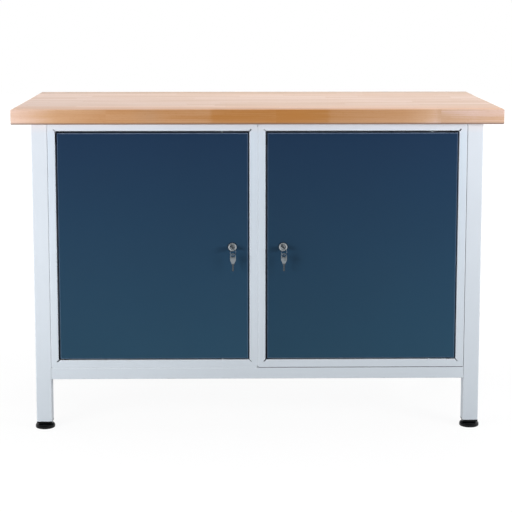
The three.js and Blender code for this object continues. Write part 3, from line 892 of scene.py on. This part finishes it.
makeWorktop(worktopSettings)
print("worktop ready")


# paint that bridges the seams of the front

seamSettings = {
    "reach": 0.0019,
    "depth": 0.004,
    "centreRecess": 0.0006,
    "centreEnds": (0.005, 0.009),
    "sideRecess": {"left": 0.0015, "right": 0.0036},
    "bottomRecess": 0.0004,
    "bottomInset": 0.0024,
    "mitreWidth": 0.003,
    "mitreDepth": 0.0008,
    "mitreRise": 0.00004,
    "mitreSpan": (0.0022, 0.0155),
}


def frontFrame(side):  # lowest and highest corner of a cabinet's front frame
    outerLow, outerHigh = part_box("cabinet_outer_side_" + side)
    innerLow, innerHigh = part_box("cabinet_inner_side_" + side)
    low = Vector((min(outerLow.x, innerLow.x), outerLow.y, outerLow.z))
    high = Vector((max(outerHigh.x, innerHigh.x), outerLow.y, outerHigh.z))
    return low, high


def mitreStrips(low, high, spec):  # from each outer corner of a front frame towards its opening
    start, end = (span * math.sqrt(2) for span in spec["mitreSpan"])
    half = spec["mitreWidth"] / 2
    strips = []
    for x, toX in ((low.x, 1), (high.x, -1)):
        for z, toZ in ((low.z, 1), (high.z, -1)):
            turn = Matrix.Translation((x, low.y, z)) @ Matrix.Rotation(math.atan2(-toZ, toX), 4, "Y")
            near = (start, -spec["mitreRise"], -half)
            far = (end, spec["mitreDepth"], half)
            strips.append(boxMesh(near, far, turn))
    return strips


def makeSeams(spec):
    reach = spec["reach"]
    inset = spec["bottomInset"]
    strips = []
    mitres = []
    bottoms = {}
    for side in sides:
        low, high = frontFrame(side)
        mitres += mitreStrips(low, high, spec)
        x = low.x if side == "left" else high.x
        back = low.y + spec["depth"]
        front = low.y + spec["sideRecess"][side]
        strips.append(boxMesh((x - reach, front, low.z), (x + reach, back, high.z)))
        front = low.y + spec["bottomRecess"]
        near = (low.x + inset, front, low.z - reach)
        far = (high.x - inset, back, low.z + reach)
        bottoms[side] = boxMesh(near, far)
    fromBottom, fromTop = spec["centreEnds"]
    near = (-reach, low.y + spec["centreRecess"], low.z + fromBottom)
    strips.append(boxMesh(near, (reach, back, high.z - fromTop)))
    strips.append(bottoms["left"])
    for name, meshes, coat in (
        ("painted_seams", strips, "greyCoat"),
        ("painted_mitres", mitres, "flushCoat"),
        # a dark strip in the right cabinet's lower seam: painted shade
        ("joint_shade_strip", [bottoms["right"]], "jointShadeCoat"),
    ):
        mesh = joinMeshes(name, meshes)
        addPiece(name, mesh, "grey_paint", "bench", smooth=False, material=coats[coat])


makeSeams(seamSettings)


# rubber strips and small buffers in the door gaps

stripSettings = {
    "thickness": 0.0008,
    "fromFront": (0.0008, 0.0165),
    "inset": 0.021,
    "topStrip": (0.002, 0.034),
    "bottomStrip": (0.002, 0.052),
    "bufferAt": 0.425,
    "buffer": (0.0044, 0.004, 0.0019),
}


def makeGapStrips(spec):
    strips = []
    buffers = []
    inset = spec["inset"]
    width, depth, height = spec["buffer"]
    for side in sides:
        frameLow, frameHigh = frontFrame(side)
        left = frameLow.x + inset
        bottom, top = frameLow.z + inset, frameHigh.z - inset
        near, far = (frameLow.y + reach for reach in spec["fromFront"])
        for low, high in (
            (top - spec["topStrip"][1], top - spec["topStrip"][0]),
            (bottom + spec["bottomStrip"][0], bottom + spec["bottomStrip"][1]),
        ):
            strips.append(boxMesh((left, near, low), (left + spec["thickness"], far, high)))
        x = left + spec["bufferAt"]
        for low, high in ((top - height, top), (bottom, bottom + height)):
            buffers.append(boxMesh((x - width / 2, near, low), (x + width / 2, near + depth, high)))
    for name, meshes, slot in (
        ("gap_strips", strips, "black_plastic"),
        ("gap_buffers", buffers, "grey_paint"),
    ):
        addPiece(name, joinMeshes(name, meshes), slot, "bench", smooth=False)


makeGapStrips(stripSettings)
print("seams and gaps ready")


# feet: domed pads and threaded studs

footSettings = {
    "poleRadius": 0.0004,
    "rimRound": 0.0025,
    "rimTop": 0.005,
    "domeFoot": 0.006,
    "domeTop": 0.0131,
    "domePower": 0.8,
    "domeSteps": 10,
    "bossRadius": 0.012,
    "bossRound": 0.001,
    "socketRadius": 0.0052,
    "socketFloor": 0.004,
    "padSteps": 72,
    "threadPitch": 0.0015,
    "threadDepth": 0.0009,
    "threadSteps": 32,
    "ringsPerTurn": 8,
    "studChamfer": 0.001,
}


def makePad(corner, spec):
    low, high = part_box("foot_pad_" + corner)
    centre = (low + high) / 2
    radius = (high.x - low.x) / 2
    top = high.z - low.z
    pole, rim = spec["poleRadius"], spec["rimRound"]
    boss, bossRound = spec["bossRadius"], spec["bossRound"]
    profile = [(pole, 0.0), (radius - rim, 0.0)]
    profile += arcProfile(radius - rim, rim, rim, -90, 0)[1:]
    profile.append((radius, spec["rimTop"]))
    domeFoot, steps = spec["domeFoot"], spec["domeSteps"]
    for k in range(1, steps + 1):
        angle = math.radians(90 * k / steps)
        reach = boss + (radius - boss) * math.cos(angle) ** spec["domePower"]
        profile.append((reach, domeFoot + (spec["domeTop"] - domeFoot) * math.sin(angle)))
    profile.append((boss, top - bossRound))
    profile += arcProfile(boss - bossRound, top - bossRound, bossRound, 0, 90, 3)[1:]
    for reach, height in (
        (spec["socketRadius"], top),
        (spec["socketRadius"], spec["socketFloor"]),
        (pole, spec["socketFloor"]),
    ):
        profile.append((reach, height))
    rings = [ringPoints(reach, height, spec["padSteps"]) for reach, height in profile]
    mesh = loftMesh("pad", rings)
    mesh.transform(Matrix.Translation((centre.x, centre.y, low.z)))
    addPiece("domed_pad_" + corner, mesh, "black_plastic", "foot_" + corner, "foot_pad_" + corner)


def makeStud(corner, spec):
    low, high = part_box("foot_stud_" + corner)
    centre = (low + high) / 2
    radius = (high.x - low.x) / 2
    length = high.z - low.z
    pitch = spec["threadPitch"]
    count = round(length / pitch * spec["ringsPerTurn"])
    steps = spec["threadSteps"]
    rings = []
    for level in range(count + 1):
        height = length * level / count
        taper = max(0.0, spec["studChamfer"] - min(height, length - height))
        ring = []
        for k in range(steps):
            angle = math.tau * k / steps
            phase = (height / pitch - k / steps) % 1.0
            cut = spec["threadDepth"] * abs(2 * phase - 1)
            reach = radius - max(cut, taper)
            ring.append(Vector((reach * math.cos(angle), reach * math.sin(angle), height)))
        rings.append(ring)
    mesh = loftMesh("stud", rings)
    mesh.transform(Matrix.Translation((centre.x, centre.y, low.z)))
    addPiece("threaded_stud_" + corner, mesh, "zinc_steel", "stud_" + corner, "foot_stud_" + corner)


for corner in corners:
    makePad(corner, footSettings)
    makeStud(corner, footSettings)
print("feet ready")


# locks: turned face with barrel, keys and split rings

lockSettings = {
    "bore": 0.0062,
    "rosetteRadius": 0.011,
    "rosetteFront": -0.003,
    "rosetteRound": 0.0012,
    "barrelRadius": 0.009,
    "barrelFlat": 0.008,
    "barrelLength": 0.019,
    "chamfer": 0.0006,
    "steps": 72,
}


def makeLockFace(side, spec):
    bore = spec["bore"]
    front, bend = spec["rosetteFront"], spec["rosetteRound"]
    radius, chamfer = spec["rosetteRadius"], spec["chamfer"]
    barrel, length = spec["barrelRadius"], spec["barrelLength"]
    flat = spec["barrelFlat"]
    profile = [(bore, front + chamfer, None), (bore + chamfer, front, None)]
    for reach, height in arcProfile(radius - bend, front + bend, bend, -90, 0):
        profile.append((reach, height, None))
    profile += [
        (radius, 0.0, None),
        (barrel, 0.0, flat),
        (barrel, length - chamfer, flat),
        (barrel - chamfer, length, flat),
        (bore, length, None),
    ]
    rings = [ringPoints(reach, height, spec["steps"], cut) for reach, height, cut in profile]
    mesh = loftMesh("lockFace", rings, closed=True)
    mesh.transform(Matrix.Translation(jointAt[side + "_lock_turn"]) @ turned(-90, "X"))
    addPiece("lock_face_" + side, mesh, "nickel", side + "_door", "lock_housing_" + side)


keySettings = {
    "thickness": 0.0018,
    "edge": 0.0003,
    "bladeWidth": 0.005,
    "bladeLength": 0.018,
    "bladeTip": 0.0015,
    "bites": 3,
    "biteDepth": 0.0008,
    "bitePitch": 0.004,
    "neckWidth": 0.008,
    "neckLength": 0.003,
    "bowWidth": 0.0156,
    "bowLength": 0.026,
    "bowTaper": 0.008,
    "bowSteps": 20,
    "slotLength": 0.006,
    "slotRadius": 0.0032,
    "slotInset": 0.0058,
    "slotSteps": 12,
    "shoulder": 0.003,
    "restAngle": -45,
    "spareTurn": -18,
    "mergeReach": 1e-6,
}


def keyOutline(spec):
    half = spec["bladeWidth"] / 2
    tip = spec["bladeTip"]
    bite = spec["biteDepth"]
    neck, shoulder = spec["neckWidth"] / 2, spec["neckLength"]
    side = [(half - tip, -spec["bladeLength"]), (half, tip - spec["bladeLength"])]
    for k in range(spec["bites"], 0, -1):
        for step, depth in ((-1, 0), (0, bite), (1, 0)):
            side.append((half - depth, step * bite - k * spec["bitePitch"]))
    reach = spec["bowWidth"] / 2
    side += [(half, 0.0), (neck, 0.0), (neck, shoulder), (reach, shoulder + spec["bowTaper"])]
    crown = shoulder + spec["bowLength"] - reach
    top = arcProfile(0.0, crown, reach, 0, 180, spec["bowSteps"])
    return side + top + [(-x, y) for x, y in reversed(side)]


def slotHeight(spec):
    return spec["neckLength"] + spec["bowLength"] - spec["slotInset"]


def slotOutline(spec):
    half = spec["slotLength"] / 2
    ends = ((half, -90, 90), (-half, 90, 270))
    outline = []
    for x, start, end in ends:
        outline += arcProfile(x, slotHeight(spec), spec["slotRadius"], start, end, spec["slotSteps"])
    return outline


def meshOf(holder):  # its evaluated mesh; the holder itself is removed
    graph = bpy.context.evaluated_depsgraph_get()
    mesh = bpy.data.meshes.new_from_object(holder.evaluated_get(graph))
    holder.modifiers.clear()
    bpy.data.objects.remove(holder)
    return mesh


def keyMesh(spec):
    plane = bpy.data.curves.new("key", "CURVE")
    plane.dimensions = "2D"
    plane.fill_mode = "BOTH"
    plane.extrude = spec["thickness"] / 2 - spec["edge"]
    plane.bevel_depth = spec["edge"]
    plane.bevel_resolution = 2
    plane.offset = -spec["edge"]
    for outline in (keyOutline(spec), slotOutline(spec)):
        line = plane.splines.new("POLY")
        line.points.add(len(outline) - 1)
        for point, (x, y) in zip(line.points, outline):
            point.co = (x, y, 0.0, 1.0)
        line.use_cyclic_u = True
    form = bmesh.new()
    form.from_mesh(meshOf(addObject("key", plane)))
    bmesh.ops.remove_doubles(form, verts=form.verts, dist=spec["mergeReach"])
    bmesh.ops.recalc_face_normals(form, faces=form.faces)
    mesh = toMesh(form, "key", metalSharpAngle)
    blade = mesh.attributes.new("blade", "FLOAT", "POINT")
    for vertex, mark in zip(mesh.vertices, blade.data):
        mark.value = 1.0 if vertex.co.y < spec["neckLength"] else 0.0
    return mesh


def makeKeys(side, spec):
    turn = turned(spec["restAngle"], "Y")
    upright = Matrix(((0, 0, 1, 0), (0, -1, 0, 0), (1, 0, 0, 0), (0, 0, 0, 1)))
    inLock = jointAt[side + "_lock_turn"] + Vector((0, -spec["shoulder"], 0))
    atSlot = Matrix.Translation((0, -slotHeight(spec), 0))
    hanging = turned(spec["spareTurn"], "Z") @ turned(90, "X") @ atSlot
    for name, node, place, pose in (
        ("cut_key_", "key_", inLock, turn @ upright),
        ("hanging_key_", "spare_key_", jointAt[side + "_spare_key_swing"], hanging),
    ):
        mesh = keyMesh(spec)
        mesh.transform(Matrix.Translation(place) @ pose)
        body = side + "_" + node[:-1]
        addPiece(name + side, mesh, "nickel", body, node + side, material=plates["keySteel"])


for side in sides:
    makeLockFace(side, lockSettings)
    makeKeys(side, keySettings)
print("locks and keys ready")


# geometry node trees for what repeats

def newShape(name, inputs):
    inputs = {"Geometry": "Geometry", **inputs, "material": "Material"}
    return newTree("GeometryNodeTree", name, inputs, ("Geometry",))


def endShape(tree, given, result, shape):
    real = addNode(tree, "GeometryNodeRealizeInstances", {"Geometry": shape}).outputs[0]
    painted = {"Geometry": real, "Material": given["material"]}
    setInputs(tree, result, {
        "Geometry": addNode(tree, "GeometryNodeSetMaterial", painted).outputs[0],
    })
    return tree


def runTree(tree, **values):  # the tree's result as a plain mesh
    holder = addObject("holder", bpy.data.meshes.new("holder"))
    modifier = holder.modifiers.new("shape", "NODES")
    modifier.node_group = tree
    for item in tree.interface.items_tree:
        if item.in_out == "INPUT" and item.name in values:
            modifier[item.identifier] = values[item.name]
    return meshOf(holder)


pointInputs = {"start": (0, 0, 0), "end": (0, 0, 1), "count": 2}


def pointRow(tree, given):
    inputs = {"Count": given["count"], "Start Location": given["start"], "Offset": given["end"]}
    return addNode(tree, "GeometryNodeMeshLine", inputs, mode="END_POINTS").outputs[0]


def makeCoilTree(inputs):  # split ring: a wire wound round twice
    tree, given, result = newShape("splitRing", inputs)
    spiral = addNode(tree, "GeometryNodeCurveSpiral", {
        "Resolution": given["ringSteps"],
        "Rotations": given["turns"],
        "Start Radius": given["ringRadius"],
        "End Radius": given["ringRadius"],
        "Height": times(tree, given["wireRadius"], 2.0),
    })
    circle = {"Resolution": given["wireSteps"], "Radius": given["wireRadius"]}
    wire = addNode(tree, "GeometryNodeCurvePrimitiveCircle", circle)
    swept = addNode(tree, "GeometryNodeCurveToMesh", {
        "Curve": spiral.outputs[0],
        "Profile Curve": wire.outputs[0],
        "Fill Caps": True,
    })
    return endShape(tree, given, result, swept.outputs[0])


ringSettings = {
    "turn": 30,
    "coil": {"ringRadius": 0.0082, "wireRadius": 0.0003, "turns": 2.0, "ringSteps": 48, "wireSteps": 12},
}
coilTree = makeCoilTree(ringSettings["coil"])


def makeSplitRing(side, spec):
    coil = spec["coil"]
    mesh = runTree(coilTree, material=plates["zincPlate"])
    mesh.transform(Matrix.Translation((0, 0, -coil["wireRadius"])))
    upright = Matrix.Translation((0, 0, -coil["ringRadius"])) @ turned(90, "X")
    turn = turned(spec["turn"], "Z")
    mesh.transform(Matrix.Translation(jointAt[side + "_ring_hang"]) @ turn @ upright)
    addPiece("split_ring_" + side, mesh, "zinc_steel", side + "_key_ring", "key_ring_" + side)


for side in sides:
    makeSplitRing(side, ringSettings)
print("rings ready")


def makeRowTree(inputs):  # heads of rivets in a row
    tree, given, result = newShape("headRow", {**pointInputs, **inputs})
    ball = {"Segments": given["segments"], "Rings": given["rings"], "Radius": 1.0}
    head = addNode(tree, "GeometryNodeMeshUVSphere", ball)
    size = {"X": given["headRadius"], "Y": given["headRadius"], "Z": given["headHeight"]}
    turn = addNode(tree, "FunctionNodeAlignRotationToVector", {"Vector": given["facing"]}, axis="Z")
    heads = addNode(tree, "GeometryNodeInstanceOnPoints", {
        "Points": pointRow(tree, given),
        "Instance": head.outputs[0],
        "Rotation": turn.outputs[0],
        "Scale": addNode(tree, "ShaderNodeCombineXYZ", size).outputs[0],
    })
    return endShape(tree, given, result, heads.outputs[0])


rivetSettings = {
    "inset": 0.0075,
    "endInset": 0.03,
    "row": {
        "count": 7,
        "facing": (0, 1, 0),
        "headRadius": 0.0036,
        "headHeight": 0.0014,
        "segments": 20,
        "rings": 10,
    },
}
rowTree = makeRowTree(rivetSettings["row"])


def makeBackRivets(spec):
    rows = []
    for side in sides:
        for wall in ("outer", "inner"):
            low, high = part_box(f"cabinet_{wall}_side_{side}")
            atLeft = (side == "left") == (wall == "outer")
            x = low.x + spec["inset"] if atLeft else high.x - spec["inset"]
            rows.append(runTree(
                rowTree,
                start=(x, high.y, low.z + spec["endInset"]),
                end=(x, high.y, high.z - spec["endInset"]),
                material=coats["greyCoat"],
            ))
    addPiece("back_rivets", joinMeshes("back_rivets", rows), "grey_paint", "bench")


makeBackRivets(rivetSettings)


def makeBeadTree(inputs):  # weld bead: overlapping ripples along a joint
    tree, given, result = newShape("weldBead", {**pointInputs, **inputs})
    ball = {"Radius": given["beadRadius"], "Subdivisions": 2}
    ripple = addNode(tree, "GeometryNodeMeshIcoSphere", ball)
    size = addNode(tree, "FunctionNodeRandomValue", {
        "Min": calc(tree, "SUBTRACT", 1.0, given["unevenness"]),
        "Max": calc(tree, "ADD", 1.0, given["unevenness"]),
        "Seed": given["seed"],
    }, data_type="FLOAT")
    beads = addNode(tree, "GeometryNodeInstanceOnPoints", {
        "Points": pointRow(tree, given),
        "Instance": ripple.outputs[0],
        "Scale": size.outputs["Value"],
    })
    return endShape(tree, given, result, beads.outputs[0])


weldSettings = {
    "pitch": 0.0019,
    "railInset": 0.004,
    "bead": {"beadRadius": 0.0022, "unevenness": 0.15, "seed": 3},
}
beadTree = makeBeadTree(weldSettings["bead"])


def weldLines(spec):  # round the ends of the side rails, and under the long rails
    lines = []
    for side in sides:
        for level in ("lower", "upper"):
            low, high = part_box(f"side_rail_{level}_{side}")
            for y in (low.y, high.y):
                lines.append(((low.x, y, low.z), (low.x, y, high.z)))
                lines.append(((high.x, y, low.z), (high.x, y, high.z)))
                lines.append(((low.x, y, low.z), (high.x, y, low.z)))
                if level == "lower":
                    lines.append(((low.x, y, high.z), (high.x, y, high.z)))
    for rail in ("front_rail", "rear_rail"):
        low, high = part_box(rail)
        for x in (low.x, high.x):
            lines.append(((x, low.y + spec["railInset"], low.z), (x, high.y, low.z)))
    return lines


def makeWelds(spec):
    beads = []
    for k, (start, end) in enumerate(weldLines(spec)):
        length = (Vector(end) - Vector(start)).length
        beads.append(runTree(
            beadTree,
            start=start,
            end=end,
            count=round(length / spec["pitch"]) + 1,
            seed=spec["bead"]["seed"] + k,
            material=coats["greyCoat"],
        ))
    addPiece("weld_beads", joinMeshes("weld_beads", beads), "grey_paint", "bench")


makeWelds(weldSettings)
print("rivets and welds ready")


# floor, backdrop and light

stageSettings = {
    "floorSize": 24.0,
    "floorColour": grey(0.6),
    "floorRoughness": 0.9,
    "shadowReach": (0.9, 2.4),
    "shadowShare": 0.16,
    "whiteness": 1.1,
    "ambient": 0.16,
    "frontMirror": 0.16,
    "frontSpan": (-0.7, 0.1),
    "rightMirror": 0.5,
    "rightSpan": (0.35, 0.7),
}
lampSettings = {
    "left": {"place": (-1.5, -1.6, 0.66), "aim": (-0.45, -0.3, 0.52), "size": (0.8, 0.4), "power": 22.4},
    "right": {"place": (1.7, -1.45, 0.96), "aim": (0.45, -0.3, 1.5), "size": (0.8, 0.4), "power": 29},
    "top": {"place": (-0.12, 0.1, 2.9), "aim": (-0.12, 0.1, 0.8), "size": (3.0, 1.2), "power": 34},
    "rear": {"place": (0.9, 3.2, 1.5), "aim": (0.0, 0.2, 0.5), "size": (2.6, 1.6), "power": 62},
}


def seenDirectly(tree, path):
    return calc(tree, "MAXIMUM", path["Is Camera Ray"], path["Is Transmission Ray"])


def makeFloor(spec):
    mesh = bpy.data.meshes.new("floor")
    half = spec["floorSize"] / 2
    square = [(-half, -half, 0), (half, -half, 0), (half, half, 0), (-half, half, 0)]
    mesh.from_pydata(square, [], [(0, 1, 2, 3)])
    floor = addObject("floor", mesh)
    material, tree, shader = newMaterial("floor")
    setInputs(tree, shader, {
        "Base Color": spec["floorColour"],
        "Roughness": spec["floorRoughness"],
        "Specular IOR Level": 0.0,
    })
    path = tree.nodes.new("ShaderNodeLightPath").outputs
    seen = calc(tree, "MAXIMUM", seenDirectly(tree, path), path["Is Glossy Ray"])
    fromBench = vectorCalc(tree, "LENGTH", objectPlace(tree))
    near = fit(tree, fromBench, *spec["shadowReach"], spec["shadowShare"], 0.0)
    share = times(tree, seen, calc(tree, "SUBTRACT", 1.0, near))
    glow = addNode(tree, "ShaderNodeEmission", {"Color": grey(1.0), "Strength": spec["whiteness"]})
    both = addNode(tree, "ShaderNodeMixShader", {0: share, 1: shader.outputs[0], 2: glow.outputs[0]})
    setInputs(tree, tree.nodes["Material Output"], {"Surface": both.outputs[0]})
    mesh.materials.append(material)


def makeBackdrop(spec):  # white all round; mirrored, the side in front of the bench is darker
    world = bpy.data.worlds.new("studio")
    world.use_nodes = True
    scene.world = world
    tree = world.node_tree
    path = tree.nodes.new("ShaderNodeLightPath").outputs
    way = tree.nodes.new("ShaderNodeTexCoord").outputs["Generated"]
    toRight, backShade, up = axesOf(tree, way)
    fromFront = fit(tree, backShade, *spec["frontSpan"], spec["frontMirror"], 1.0)
    fromRight = fit(tree, toRight, *spec["rightSpan"], 0.0, spec["rightMirror"])
    mirrored = calc(tree, "ADD", fromFront, fromRight)
    strength = mixValue(tree, path["Is Glossy Ray"], spec["ambient"], mirrored)
    setInputs(tree, tree.nodes["Background"], {
        "Color": grey(1.0),
        "Strength": mixValue(tree, seenDirectly(tree, path), strength, 1.0),
    })


def makeLamp(name, spec):
    data = bpy.data.lights.new(name, "AREA")
    data.shape = "RECTANGLE"
    data.size, data.size_y = spec["size"]
    data.energy = spec["power"]
    lamp = addObject(name, data)
    lamp.location = spec["place"]
    aim = Vector(spec["aim"]) - Vector(spec["place"])
    lamp.rotation_euler = aim.to_track_quat("-Z", "Y").to_euler()
    lamp.visible_camera = False
    lamp.visible_glossy = False


makeFloor(stageSettings)
makeBackdrop(stageSettings)
for lampName, lampValues in lampSettings.items():
    makeLamp(lampName, lampValues)
print("stage ready")
